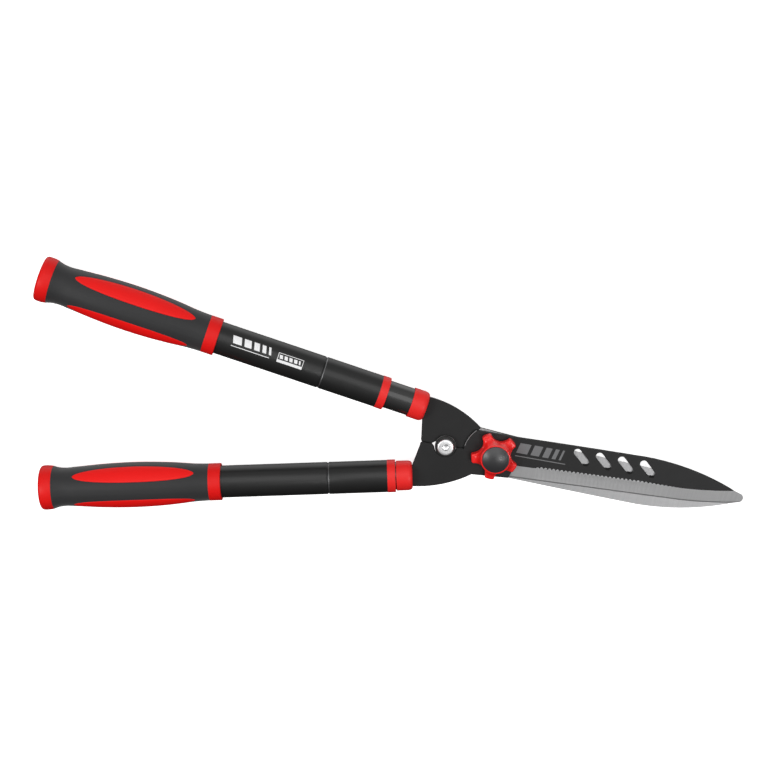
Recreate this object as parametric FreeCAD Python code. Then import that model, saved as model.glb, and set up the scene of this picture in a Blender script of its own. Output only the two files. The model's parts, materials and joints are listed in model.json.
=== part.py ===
import FreeCAD, Part

import math
import os

# Two-hand hedge shears with telescopic handles.
# Millimetres, +Z up.  The shears lie flat, closed, with the blades along +X.  The origin is on the
# pivot axis, at the outer face of the pivot bolt's head.  "Left" is the +Y half, which carries the
# rear blade, and "right" is the -Y half, which carries the front blade and turns on the pivot.

# ---- driving dimensions ----
bolt_head_height = 5.3
plate_thickness = 3.0
blade_gap = 0.1                    # running gap between the two plates

pivot_shank_radius = 4.0           # M8
bush_radius = 6.0
boss_radius = 31.0                 # round shoulder of each plate about the pivot
running_clearance = 0.05           # radial, between pieces that turn or slide on each other
corner_turning = 0.6               # chamfer on the corners of nuts and bolt heads

stop_x = -49.0                     # stop screw, on the X axis behind the pivot
stop_screw_radius = 4.0            # M8
stop_notch_radius = 10.6
stop_ear_radius = 9.8
stop_head_radius = 8.1
stop_nut_height = 4.0

bevel_width = 13.2                 # ground band along each cutting edge
edge_land = 0.3                    # thickness left at the cutting edge
rear_blade_turn = 0.5              # degrees by which the closed rear blade passes the front one

slot_count = 4
slot_first = (84.1, 12.6)
slot_pitch = 22.07
slot_radius = 3.65
slot_half_length = 6.75            # between end centres, halved
slot_angle = -41.8

arm_front = {"left": (-75.0, 35.0), "right": (-75.0, -36.0)}      # centre of each ferrule's front end
arm_angle = {"left": 180.0 - 8.85, "right": 180.0 + 12.46}        # direction of each arm, outwards
handle_out = {"left": 24.0, "right": 0.0}                         # how far each handle stands extended

tube_wall = 1.2
outer_tube_radius = 15.8
inner_tube_radius = 13.6
ferrule_radius = 14.7
collar_radius = 16.1
ring_radius = 18.3
bead_depth = 0.8
bead_half_width = 1.8

# stations along a closed arm, from the ferrule's front end outwards
ferrule_wall = 3.0
ferrule_end = 15.7
tang_plug_end = 58.0
guide_bush_end = 58.0
collar_start = 16.5
collar_end = 24.5
bead_station = 82.4
ring_start = 187.4
grip_start = 199.4
cap_start = 352.4
arm_end = 365.4
inner_tube_end = 247.0
inlay_start = 213.2
inlay_end = 331.7

inlay_half_width = 9.2
inlay_angles = (48.0, 138.0, 222.0, 312.0)     # about the grip's axis, from straight up
inlay_depth = 1.6
inlay_proud = 0.25

lock_taper_radius = 9.0            # the lock's taper, journal and screw inside the outer tube
lock_taper_end = 260.0
lock_journal_radius = 6.0
lock_journal_end = 270.0
lock_screw_radius = 2.5

tang_half_width = 10.5
tang_depth = 52.0                  # how far the tang reaches into its plug
tang_pin_radius = 2.5
tang_pin_stations = (22.0, 42.0)

lobe_count = 5
lobe_tip_radius = 23.2
lobe_cut_radius = 10.2             # the round hollow between two lobes
lobe_cut_offset = 25.5
lobe_first_angle = 50.4
knob_hub_radius = 15.3
knob_cap_radius = 13.1
dome_height = 3.4

# ---- derived levels ----
rear_plate_bottom = bolt_head_height
rear_plate_top = rear_plate_bottom + plate_thickness
front_plate_bottom = rear_plate_top + blade_gap
front_plate_top = front_plate_bottom + plate_thickness
mating_plane = rear_plate_top + blade_gap / 2
bush_top = front_plate_top + blade_gap
spring_washer_bottom = bush_top + 1.6
knob_nut_bottom = spring_washer_bottom + 1.8
knob_nut_top = knob_nut_bottom + 6.5
pivot_bolt_top = knob_nut_top + 1.3
cap_seat = knob_nut_top + 2.2
knob_bottom = front_plate_top + 0.6
lobe_top = knob_bottom + 7.0
hub_top = front_plate_top + 15.2
bumper_top = front_plate_top + blade_gap
stop_washer_top = bumper_top + 1.2
stop_nut_bottom = rear_plate_bottom - stop_nut_height
outer_tube_bore = outer_tube_radius - tube_wall
inner_tube_bore = inner_tube_radius - tube_wall

X_AXIS = FreeCAD.Vector(1, 0, 0)
Z_AXIS = FreeCAD.Vector(0, 0, 1)
ORIGIN = FreeCAD.Vector(0, 0, 0)


# ---- helpers ----
def polar(radius, degrees, centre=(0.0, 0.0)):
    """Plan point at a radius and angle about a centre."""
    angle = math.radians(degrees)
    return (centre[0] + radius * math.cos(angle), centre[1] + radius * math.sin(angle))


def outline(start, steps):
    """Closed face in the XY plane.  A step is a point for a line, or (middle, end) for an arc."""
    edges = []
    first = FreeCAD.Vector(start[0], start[1], 0)
    here = first
    for step in steps:
        if isinstance(step[0], tuple):
            middle = FreeCAD.Vector(step[0][0], step[0][1], 0)
            end = FreeCAD.Vector(step[1][0], step[1][1], 0)
            edges.append(Part.Arc(here, middle, end).toShape())
        else:
            end = FreeCAD.Vector(step[0], step[1], 0)
            edges.append(Part.makeLine(here, end))
        here = end
    if here.distanceToPoint(first) > 1e-6:
        edges.append(Part.makeLine(here, first))
    return Part.Face(Part.Wire(edges))


def turned(start, steps):
    """Solid of revolution about the X axis, from a profile of (station, radius) points."""
    return outline(start, steps).revolve(ORIGIN, X_AXIS, 360)


def sleeve(start, end, outer, inner):
    """Plain tube along X."""
    return turned((start, inner), [(end, inner), (end, outer), (start, outer)])


def disc(radius, bottom, top, centre=(0.0, 0.0)):
    """Upright cylinder."""
    return Part.makeCylinder(radius, top - bottom, FreeCAD.Vector(centre[0], centre[1], bottom))


def washer(outer, inner, bottom, top, centre=(0.0, 0.0)):
    return disc(outer, bottom, top, centre).cut(disc(inner, bottom, top, centre))


def hexagon(across_flats, bottom, top, centre=(0.0, 0.0)):
    """Upright hexagonal prism."""
    radius = across_flats / math.sqrt(3)
    points = [polar(radius, 30 + 60 * corner, centre) for corner in range(6)]
    prism = outline(points[0], points[1:]).extrude(Z_AXIS * (top - bottom))
    prism.translate(Z_AXIS * bottom)
    return prism


def hexagon_with_turned_corners(across_flats, bottom, top, centre=(0.0, 0.0)):
    """Hexagonal prism with both ends' corners turned off, as on a nut."""
    radius = across_flats / math.sqrt(3)
    blank = disc(radius, bottom, top, centre)
    ends = [edge for edge in blank.Edges if edge.BoundBox.ZLength < 0.001]
    return hexagon(across_flats, bottom, top, centre).common(blank.makeChamfer(corner_turning, ends))


def rounded(shape, radius, rims):
    """Fillet the round rims of a turned part that lie at the given (station, radius) places."""
    chosen = []
    for edge in shape.Edges:
        box = edge.BoundBox
        for station, rim_radius in rims:
            on_station = abs(box.XMin - station) < 0.01 and abs(box.XMax - station) < 0.01
            if on_station and abs(box.YMax - rim_radius) < 0.01:
                chosen.append(edge)
    return shape.makeFillet(radius, chosen)


# ---- plates ----
def bevel_wedge(start, end):
    """What grinding removes above a straight stretch of cutting edge, in plan from start to end."""
    run = math.hypot(end[0] - start[0], end[1] - start[1])
    angle = math.degrees(math.atan2(end[1] - start[1], end[0] - start[0]))
    slope = (plate_thickness - edge_land) / bevel_width
    beyond = 6.0
    section = outline(
        (-beyond, edge_land - beyond * slope),
        [(bevel_width + beyond, plate_thickness + beyond * slope), (-beyond, 2 * plate_thickness)],
    )
    wedge = section.extrude(Z_AXIS * run)
    # a third of a turn about the space diagonal lays the extrusion along X, with the section upright
    wedge.rotate(ORIGIN, FreeCAD.Vector(1, 1, 1), 120)
    wedge.rotate(ORIGIN, Z_AXIS, angle)
    wedge.translate(FreeCAD.Vector(start[0], start[1], 0))
    return wedge


def plate(side):
    """Tang and blade of one half, lying as the front half does: tang at -Y, spine at +Y, z from 0."""
    front = side == "right"
    turn = 0.0 if front else rear_blade_turn
    lean = abs(arm_angle[side] - 180.0)
    entry = (arm_front[side][0], -abs(arm_front[side][1]))
    stop = (stop_x, 0.0)

    def blade(x, y):
        """Blade point, turned about the pivot with its half's closing angle."""
        return polar(math.hypot(x, y), math.degrees(math.atan2(y, x)) + turn)

    def tang(depth, offset):
        """Tang point: depth into the ferrule, offset across the arm, away from the other arm."""
        return polar(offset, 270.0 + lean, polar(depth, 180.0 + lean, entry))

    # at the stop screw the front plate has a notch, and the rear plate an ear with the screw's hole
    if front:
        at_stop = [
            polar(stop_notch_radius, 193, stop),
            (polar(stop_notch_radius, 270, stop), polar(stop_notch_radius, 3, stop)),
        ]
    else:
        at_stop = [
            polar(stop_ear_radius, 195, stop),
            (polar(stop_ear_radius, 90, stop), polar(stop_ear_radius, 3, stop)),
        ]

    heel = blade(17.2, -21.0)
    edge_start = blade(18.4, -20.5)
    edge_bend = blade(182.0, -13.9)
    edge_end = blade(240.0, -7.1)
    past_tip = blade(262.0, -4.6)
    face = outline(
        polar(boss_radius, 179),
        [
            (polar(boss_radius, 158), polar(boss_radius, 136)),
            blade(22.0, 21.6),
            (blade(85.0, 23.2), blade(147.0, 24.3)),
            (blade(203.3, 17.3), blade(241.3, 5.0)),
            blade(247.1, 3.3),
            (blade(249.6, -1.0), blade(247.5, -4.9)),
            edge_end,
            (blade(212.0, -11.4), edge_bend),
            edge_start,
            heel,
            (-18.4, -23.7),
            ((-45.0, -38.9), tang(0.0, tang_half_width)),
            tang(tang_depth, tang_half_width),
            tang(tang_depth, -tang_half_width),
            tang(0.0, -tang_half_width),
            (-73.5, -3.0),
            ((-72.9, -0.6), (-70.8, 0.3)),
            (-62.7, 0.3),
        ]
        + at_stop,
    )
    solid = face.extrude(Z_AXIS * plate_thickness)
    solid = solid.cut(bevel_wedge(edge_start, edge_bend))
    solid = solid.cut(bevel_wedge(edge_bend, past_tip))
    for station in tang_pin_stations:
        solid = solid.cut(disc(tang_pin_radius, 0, plate_thickness, tang(station, 0)))
    return solid


def front_blade():
    solid = plate("right").cut(disc(bush_radius + running_clearance, 0, plate_thickness))
    for number in range(slot_count):
        middle = (slot_first[0] + slot_pitch * number, slot_first[1])
        lower = polar(slot_half_length, slot_angle, middle)
        upper = polar(slot_half_length, slot_angle + 180, middle)
        slot = outline(
            polar(slot_radius, slot_angle + 90, lower),
            [
                (polar(slot_radius, slot_angle, lower), polar(slot_radius, slot_angle - 90, lower)),
                polar(slot_radius, slot_angle - 90, upper),
                (polar(slot_radius, slot_angle + 180, upper), polar(slot_radius, slot_angle + 90, upper)),
            ],
        )
        solid = solid.cut(slot.extrude(Z_AXIS * plate_thickness))
    solid.translate(Z_AXIS * front_plate_bottom)
    return solid


def rear_blade():
    solid = plate("left").cut(disc(pivot_shank_radius, 0, plate_thickness))
    solid = solid.cut(disc(stop_screw_radius, 0, plate_thickness, (stop_x, 0.0)))
    solid.rotate(ORIGIN, X_AXIS, 180)
    solid.translate(Z_AXIS * rear_plate_top)
    return solid


# ---- pieces of one arm, built along +X from the ferrule's front end ----
def tang_slot(side):
    """Room for the tang, which lies on one side of the arm's axis."""
    base = blade_gap / 2 if side == "right" else -blade_gap / 2 - plate_thickness
    corner = FreeCAD.Vector(-1.0, -tang_half_width, base)
    return Part.makeBox(1.0 + tang_depth, 2 * tang_half_width, plate_thickness, corner)


def ferrule(side):
    shell = turned(
        (0.0, 0.0),
        [(0.0, ferrule_radius - 3.6),
         ((1.0, ferrule_radius - 1.2), (3.6, ferrule_radius)), (ferrule_end, ferrule_radius),
         (ferrule_end, inner_tube_radius), (ferrule_wall, inner_tube_radius), (ferrule_wall, 0.0)],
    )
    return shell.cut(tang_slot(side))


def tang_plug(side):
    body = sleeve(ferrule_wall, tang_plug_end, inner_tube_bore, 0.0)
    body = body.cut(tang_slot(side))
    for station in tang_pin_stations:
        body = body.cut(disc(tang_pin_radius, -inner_tube_radius, inner_tube_radius, (station, 0.0)))
    return body


def tang_pins():
    half_length = math.sqrt(inner_tube_bore**2 - tang_pin_radius**2)
    return [disc(tang_pin_radius, -half_length, half_length, (at, 0.0)) for at in tang_pin_stations]


def inner_tube():
    return sleeve(ferrule_wall, inner_tube_end, inner_tube_radius, inner_tube_bore)


def lock_spindle():
    """Plug in the inner tube's rear end, with a taper and a journal that carry the expander."""
    shoulder = inner_tube_end + 1.6
    return turned(
        (inner_tube_end - 18.0, 0.0),
        [(inner_tube_end - 18.0, inner_tube_bore), (inner_tube_end, inner_tube_bore),
         (inner_tube_end, inner_tube_radius), (shoulder, inner_tube_radius),
         (shoulder, lock_taper_radius), (lock_taper_end, lock_journal_radius),
         (lock_journal_end, lock_journal_radius), (lock_journal_end, lock_screw_radius),
         (lock_taper_end - 6.0, lock_screw_radius), (lock_taper_end - 6.0, 0.0)],
    )


def lock_expander():
    """Split nylon sleeve that the taper spreads inside the outer tube."""
    start = inner_tube_end + 1.6 + blade_gap
    end = lock_journal_end - blade_gap
    outer = outer_tube_bore - running_clearance
    body = turned(
        (start, lock_taper_radius + running_clearance),
        [(start, outer - 1.0), (start + 1.0, outer), (end - 1.0, outer), (end, outer - 1.0),
         (end, lock_journal_radius + running_clearance),
         (lock_taper_end, lock_journal_radius + running_clearance)],
    )
    slit = Part.makeBox(end - start, 2.4, outer, FreeCAD.Vector(start, -1.2, 0))
    return body.cut(slit)


def lock_screw():
    head_end = lock_journal_end + 3.6
    screw = turned(
        (lock_taper_end - 6.0, 0.0),
        [(lock_taper_end - 6.0, lock_screw_radius), (lock_journal_end, lock_screw_radius),
         (lock_journal_end, 9.0), (head_end, 9.0), (head_end, 0.0)],
    )
    screw = rounded(screw, 1.2, [(head_end, 9.0)])
    drive = Part.makeBox(2.0, 10.0, 1.6, FreeCAD.Vector(head_end - 2.0, -5.0, -0.8))
    return screw.cut(drive)


def outer_tube():
    """Tube with a rolled bead, whose inner ridge guides the inner tube and stops the expander."""
    tube_end = arm_end - 4.4
    low = bead_station - bead_half_width
    high = bead_station + bead_half_width
    return turned(
        (collar_end, outer_tube_bore),
        [(low, outer_tube_bore),
         ((bead_station, outer_tube_bore - bead_depth), (high, outer_tube_bore)),
         (tube_end, outer_tube_bore), (tube_end, outer_tube_radius),
         (high, outer_tube_radius),
         ((bead_station, outer_tube_radius - bead_depth), (low, outer_tube_radius)),
         (collar_end, outer_tube_radius)],
    )


def collar():
    ring = turned(
        (collar_start, inner_tube_radius + running_clearance),
        [(collar_start, collar_radius), (collar_end, collar_radius), (collar_end, outer_tube_bore),
         (collar_start + 2.0, outer_tube_bore),
         (collar_start + 2.0, inner_tube_radius + running_clearance)],
    )
    return rounded(ring, 0.5, [(collar_start, collar_radius), (collar_end, collar_radius)])


def guide_bush():
    return sleeve(collar_start + 2.0, guide_bush_end, outer_tube_bore,
                  inner_tube_radius + running_clearance)


def grip_ring():
    ring = sleeve(ring_start, grip_start, ring_radius, outer_tube_radius)
    return rounded(ring, 0.7, [(ring_start, ring_radius)])


def grip_form(offset):
    """Solid under the grip's curved surface, moved out by an offset."""
    surface_points = [
        (grip_start, 18.2), (212.4, 18.7), (230.4, 20.4), (253.4, 21.8), (277.4, 22.2),
        (305.4, 21.3), (329.4, 19.6), (341.4, 18.9), (347.7, 19.6), (cap_start, 21.0),
    ]
    curve = Part.BSplineCurve()
    above = [FreeCAD.Vector(station, radius + offset, 0) for station, radius in surface_points]
    curve.interpolate(above)
    corners = [above[-1], FreeCAD.Vector(cap_start, 0, 0), FreeCAD.Vector(grip_start, 0, 0), above[0]]
    edges = [Part.makeLine(corners[at], corners[at + 1]) for at in range(3)]
    return Part.Face(Part.Wire([curve.toShape()] + edges)).revolve(ORIGIN, X_AXIS, 360)


def grip_inlays():
    """Four lens-shaped inserts, let into the grip and standing a little proud of it."""
    middle = (inlay_start + inlay_end) / 2
    lens = outline(
        (inlay_start, 0.0),
        [((middle, inlay_half_width), (inlay_end, 0.0)),
         ((middle, -inlay_half_width), (inlay_start, 0.0))],
    )
    layer = grip_form(inlay_proud).cut(grip_form(-inlay_depth))
    inlays = []
    for angle in inlay_angles:
        cutter = lens.extrude(Z_AXIS * (ring_radius + 8.0))
        cutter.rotate(ORIGIN, X_AXIS, angle)
        inlays.append(layer.common(cutter))
    return inlays


def grip_sleeve():
    solid = grip_form(0.0).cut(sleeve(grip_start, cap_start, outer_tube_radius, 0.0))
    for inlay in grip_inlays():
        solid = solid.cut(inlay)
    return solid


def end_cap():
    tube_end = arm_end - 4.4
    return turned(
        (tube_end - 16.0, 0.0),
        [(tube_end - 16.0, outer_tube_bore), (tube_end, outer_tube_bore), (tube_end, outer_tube_radius),
         (cap_start, outer_tube_radius), (cap_start, 21.0),
         ((cap_start + 5.0, 21.9), (arm_end - 3.6, 21.8)),
         ((arm_end - 1.2, 20.9), (arm_end - 0.4, 18.6)),
         (arm_end, 14.0), (arm_end, 0.0)],
    )


# ---- pivot and stop ----
def pivot_bolt():
    head = hexagon_with_turned_corners(13.0, 0.0, bolt_head_height)
    shank = disc(pivot_shank_radius, bolt_head_height, pivot_bolt_top)
    tip = [edge for edge in shank.Edges if edge.BoundBox.ZMin > pivot_bolt_top - 0.1]
    shank = shank.makeChamfer(0.8, tip)
    return head.fuse(shank)


def pivot_bush():
    return washer(bush_radius, pivot_shank_radius, rear_plate_top, bush_top)


def pivot_washer():
    return washer(10.0, pivot_shank_radius, bush_top, spring_washer_bottom)


def spring_washer():
    """Coned spring washer, its outer rim down on the flat washer."""
    profile = outline(
        (pivot_shank_radius + 0.2, spring_washer_bottom + 0.8),
        [(8.5, spring_washer_bottom), (8.5, spring_washer_bottom + 0.9),
         (pivot_shank_radius + 0.2, knob_nut_bottom - running_clearance)],
    )
    profile.rotate(ORIGIN, X_AXIS, 90)
    return profile.revolve(ORIGIN, Z_AXIS, 360)


def knob_nut():
    nut = hexagon_with_turned_corners(13.0, knob_nut_bottom, knob_nut_top)
    return nut.cut(disc(pivot_shank_radius + running_clearance, knob_nut_bottom, knob_nut_top))


def tension_knob():
    """Five-lobed hand knob with a tall hub: nut pocket from below, cap seat from above."""
    lobes = disc(lobe_tip_radius, knob_bottom, lobe_top)
    for number in range(lobe_count):
        hollow = polar(lobe_cut_offset, lobe_first_angle + 360 / lobe_count * (number + 0.5))
        lobes = lobes.cut(disc(lobe_cut_radius, knob_bottom, lobe_top, hollow))
    corners = [edge for edge in lobes.Edges if edge.BoundBox.ZLength > 1 and edge.BoundBox.XLength < 0.1]
    lobes = lobes.makeFillet(2.0, corners)
    rim = [edge for edge in lobes.Edges if edge.BoundBox.ZMin > lobe_top - 0.01]
    lobes = lobes.makeFillet(1.5, rim)
    hub = Part.makeCone(knob_hub_radius, knob_hub_radius - 0.5, hub_top - knob_bottom,
                        FreeCAD.Vector(0, 0, knob_bottom))
    hub = hub.makeFillet(0.8, [edge for edge in hub.Edges if edge.BoundBox.ZMin > hub_top - 0.01])
    solid = lobes.fuse(hub)
    solid = solid.cut(disc(11.0, knob_bottom, knob_nut_bottom))
    solid = solid.cut(hexagon(13.0, knob_nut_bottom, knob_nut_top))
    solid = solid.cut(disc(pivot_shank_radius + 0.4, knob_nut_top, cap_seat))
    return solid.cut(disc(knob_cap_radius, cap_seat, hub_top))


def knob_cap():
    dome = disc(knob_cap_radius, cap_seat, hub_top + 0.2)
    sphere_radius = (knob_cap_radius**2 + dome_height**2) / (2 * dome_height)
    middle = FreeCAD.Vector(0, 0, hub_top + 0.2 + dome_height - sphere_radius)
    ball = Part.makeSphere(sphere_radius, middle)
    column = disc(knob_cap_radius, hub_top + 0.2, hub_top + 0.2 + dome_height)
    return dome.fuse(column.common(ball)).removeSplitter()


def stop_screw():
    head_bottom = stop_washer_top
    head_top = head_bottom + 3.4
    head = disc(stop_head_radius, head_bottom, head_top, (stop_x, 0.0))
    head = head.makeFillet(1.2, [edge for edge in head.Edges if edge.BoundBox.ZMin > head_top - 0.01])
    head = head.cut(hexagon(5.0, head_top - 2.4, head_top, (stop_x, 0.0)))
    return head.fuse(disc(stop_screw_radius, stop_nut_bottom - 0.6, head_bottom, (stop_x, 0.0)))


def stop_bumper():
    return washer(stop_notch_radius - 0.4, stop_screw_radius, rear_plate_top, bumper_top, (stop_x, 0.0))


def stop_washer():
    return washer(stop_notch_radius - 0.3, stop_screw_radius, bumper_top, stop_washer_top, (stop_x, 0.0))


def stop_nut():
    nut = hexagon_with_turned_corners(13.0, stop_nut_bottom, rear_plate_bottom, (stop_x, 0.0))
    return nut.cut(disc(stop_screw_radius, stop_nut_bottom, rear_plate_bottom, (stop_x, 0.0)))


# ---- assembly ----
def on_arm(shape, side, out=0.0):
    """Lay a piece built along +X on its arm, moved out along the arm."""
    shape.translate(X_AXIS * out)
    shape.rotate(ORIGIN, Z_AXIS, arm_angle[side])
    shape.translate(FreeCAD.Vector(arm_front[side][0], arm_front[side][1], mating_plane))
    return shape


def arm_nodes(side):
    """Node name to solids, for one arm."""
    fixed = {
        "ferrule": [ferrule(side)],
        "tang_plug": [tang_plug(side)],
        "tang_pins": tang_pins(),
        "inner_tube": [inner_tube()],
        "lock_spindle": [lock_spindle()],
        "lock_expander": [lock_expander()],
        "lock_screw": [lock_screw()],
    }
    sliding = {
        "outer_tube": [outer_tube()],
        "collar": [collar()],
        "guide_bush": [guide_bush()],
        "grip_ring": [grip_ring()],
        "grip_sleeve": [grip_sleeve()],
        "grip_inlays": grip_inlays(),
        "end_cap": [end_cap()],
    }
    nodes = {}
    for name, solids in fixed.items():
        nodes[f"{side}_{name}"] = [on_arm(solid, side) for solid in solids]
    for name, solids in sliding.items():
        nodes[f"{side}_{name}"] = [on_arm(solid, side, handle_out[side]) for solid in solids]
    return nodes


def all_nodes():
    nodes = {
        "rear_blade": [rear_blade()],
        "front_blade": [front_blade()],
        "pivot_bolt": [pivot_bolt()],
        "pivot_bush": [pivot_bush()],
        "pivot_washer": [pivot_washer()],
        "spring_washer": [spring_washer()],
        "tension_knob": [tension_knob()],
        "knob_nut": [knob_nut()],
        "knob_cap": [knob_cap()],
        "stop_screw": [stop_screw()],
        "stop_bumper": [stop_bumper()],
        "stop_washer": [stop_washer()],
        "stop_nut": [stop_nut()],
    }
    for side in ("left", "right"):
        nodes.update(arm_nodes(side))
    return nodes


os.makedirs("parts", exist_ok=True)
for node, solids in all_nodes().items():
    shape = solids[0] if len(solids) == 1 else Part.makeCompound(solids)
    shape.exportStep(f"parts/{node}.step")
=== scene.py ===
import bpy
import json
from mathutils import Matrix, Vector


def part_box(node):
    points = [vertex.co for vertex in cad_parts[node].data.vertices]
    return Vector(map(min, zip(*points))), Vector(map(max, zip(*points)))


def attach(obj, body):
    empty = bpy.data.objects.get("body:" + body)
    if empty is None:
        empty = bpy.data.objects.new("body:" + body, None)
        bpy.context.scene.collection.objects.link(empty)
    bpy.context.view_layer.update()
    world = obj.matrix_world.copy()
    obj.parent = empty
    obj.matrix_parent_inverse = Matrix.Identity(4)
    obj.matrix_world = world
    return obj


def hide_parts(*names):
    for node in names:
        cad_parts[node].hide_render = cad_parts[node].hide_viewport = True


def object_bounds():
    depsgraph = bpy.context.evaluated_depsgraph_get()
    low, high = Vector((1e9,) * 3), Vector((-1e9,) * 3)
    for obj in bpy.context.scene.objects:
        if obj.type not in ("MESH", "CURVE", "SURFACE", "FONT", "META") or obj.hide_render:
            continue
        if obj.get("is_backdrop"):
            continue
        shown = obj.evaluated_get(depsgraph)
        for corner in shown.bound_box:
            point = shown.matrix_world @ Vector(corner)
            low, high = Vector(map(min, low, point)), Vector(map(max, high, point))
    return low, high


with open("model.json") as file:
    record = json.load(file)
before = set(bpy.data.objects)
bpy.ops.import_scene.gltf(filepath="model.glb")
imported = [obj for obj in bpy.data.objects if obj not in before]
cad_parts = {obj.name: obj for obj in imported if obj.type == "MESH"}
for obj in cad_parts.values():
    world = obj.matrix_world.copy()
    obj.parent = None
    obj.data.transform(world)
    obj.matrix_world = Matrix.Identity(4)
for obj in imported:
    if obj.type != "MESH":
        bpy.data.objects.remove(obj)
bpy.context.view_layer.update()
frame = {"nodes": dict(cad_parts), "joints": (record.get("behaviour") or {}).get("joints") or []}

import collections
import json
import math

import bmesh
import bpy
import numpy as np
from mathutils import Matrix, Vector
from mathutils.geometry import delaunay_2d_cdt

# Two-hand hedge shears with telescopic handles.  Metres, in the frame's own axes: the shears lie flat
# with the blades along +X, the pivot axis is +Z through the origin, and the outer side is up.

MM = 0.001

Span = collections.namedtuple("Span", "start end radius")
SIDES = ("left", "right")
UP = Vector((0, 0, 1))


# ---------------------------------------------------------------- measuring the frame
def points_of(node):
    """All vertices of a CAD node, one row each."""
    mesh = frame["nodes"][node].data
    flat = np.empty(3 * len(mesh.vertices))
    mesh.vertices.foreach_get("co", flat)
    return flat.reshape(-1, 3)


def joint(name):
    return next(j for j in frame["joints"] if j["name"] == name)


class Arm:
    """Axis of one arm.  Stations run outwards from the front end of its ferrule."""

    def __init__(self, side):
        twist = joint(f"{side}_lock_twist")
        self.side = side
        self.out = Vector(twist["axis"]).normalized()
        self.across = self.out.cross(UP)
        self.front = Vector(twist["pos_m"])
        self.front += self.out * self.span(f"{side}_ferrule").start

    def span(self, node):
        """First and last station of a node along this arm, and its largest radius about the axis."""
        offset = points_of(node) - np.array(self.front)
        station = offset @ np.array(self.out)
        radial = offset - np.outer(station, np.array(self.out))
        return Span(station.min(), station.max(), np.linalg.norm(radial, axis=1).max())

    def part(self, name):
        return self.span(f"{self.side}_{name}")

    def station(self, point):
        return (point - self.front).dot(self.out)

    def at(self, station, radius, angle):
        """Point at a station, and at a radius and angle about the axis; angle 0 is straight up."""
        away = UP * math.cos(angle) + self.across * math.sin(angle)
        return self.front + self.out * station + away * radius


class Column:
    """Upright axis through a plan point, with the same station and angle terms as an arm."""

    def __init__(self, x=0.0, y=0.0):
        self.foot = Vector((x, y, 0))

    def at(self, station, radius, angle):
        return self.foot + Vector((radius * math.cos(angle), radius * math.sin(angle), station))


def level(node, top):
    """Height of a node's top or bottom."""
    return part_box(node)[1 if top else 0].z


def upright(node):
    """Low and high corners of a node, its upright axis, and its radius in plan."""
    low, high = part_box(node)
    return low, high, Column((low.x + high.x) / 2, (low.y + high.y) / 2), (high.x - low.x) / 2


# ---------------------------------------------------------------- meshes
def mesh_object(name, vertices, faces, materials, face_material=None, crease=32.0):
    """Mesh object with outward normals, smooth faces, and sharp edges where it turns by more than crease."""
    mesh = bpy.data.meshes.new(name)
    mesh.from_pydata([tuple(v) for v in vertices], [], faces)
    for material in materials:
        mesh.materials.append(material)
    if face_material is not None:
        mesh.polygons.foreach_set("material_index", face_material)
    work = bmesh.new()
    work.from_mesh(mesh)
    bmesh.ops.remove_doubles(work, verts=work.verts, dist=2e-6)
    bmesh.ops.recalc_face_normals(work, faces=work.faces)
    for face in work.faces:
        face.smooth = True
    for edge in work.edges:
        if len(edge.link_faces) == 2 and edge.calc_face_angle(0.0) > math.radians(crease):
            edge.smooth = False
    work.to_mesh(mesh)
    work.free()
    made = bpy.data.objects.new(name, mesh)
    bpy.context.scene.collection.objects.link(made)
    return made


def loft(name, rings, materials, closed=True, cap_ends=False, crease=32.0, second_rows=()):
    """Skin over rings of equally many points; closed joins the last ring to the first.

    The rows of faces that second_rows lists, counted from the first pair of rings, take the second material.
    """
    count = len(rings[0])
    vertices = [point for ring in rings for point in ring]
    faces = []
    pairs = len(rings) if closed else len(rings) - 1
    for row in range(pairs):
        lower = row * count
        upper = (row + 1) % len(rings) * count
        for step in range(count):
            following = (step + 1) % count
            faces.append((lower + step, lower + following, upper + following, upper + step))
    if cap_ends:
        faces.append(tuple(range(count)))
        faces.append(tuple(range(len(vertices) - count, len(vertices))))
    face_material = [1 if face // count in second_rows else 0 for face in range(len(faces))]
    return mesh_object(name, vertices, faces, materials, face_material, crease=crease)


def filleted(profile, steps=5):
    """Profile points (station, radius, fillet) with each corner of non-zero fillet rounded off."""
    smooth = []
    count = len(profile)
    for index, (station, radius, fillet) in enumerate(profile):
        corner = Vector((station, radius))
        before = Vector(profile[index - 1][:2]) - corner
        after = Vector(profile[(index + 1) % count][:2]) - corner
        reach = min(fillet, 0.49 * before.length, 0.49 * after.length)
        if reach <= 0:
            smooth.append((station, radius))
            continue
        start = corner + before.normalized() * reach
        end = corner + after.normalized() * reach
        for step in range(steps + 1):
            t = step / steps
            point = start * (1 - t) ** 2 + corner * 2 * t * (1 - t) + end * t ** 2
            smooth.append((point.x, point.y))
    return smooth


def turned(name, axis, profile, materials, segments=96, closed=True, crease=32.0, worn=None):
    """Piece of revolution about an arm or column, from (station, radius, fillet) points.

    Faces whose stations lie within worn, a pair, take the second material.
    """
    turn = 2 * math.pi / segments
    rings = [[axis.at(station, radius, turn * step) for step in range(segments)]
             for station, radius in filleted(profile)]
    piece = loft(name, rings, materials, closed=closed, crease=crease)
    if worn is not None:
        for polygon in piece.data.polygons:
            place = sum((axis.station(piece.data.vertices[v].co) for v in polygon.vertices), 0.0)
            if worn[0] < place / len(polygon.vertices) < worn[1]:
                polygon.material_index = 1
    return piece


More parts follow.
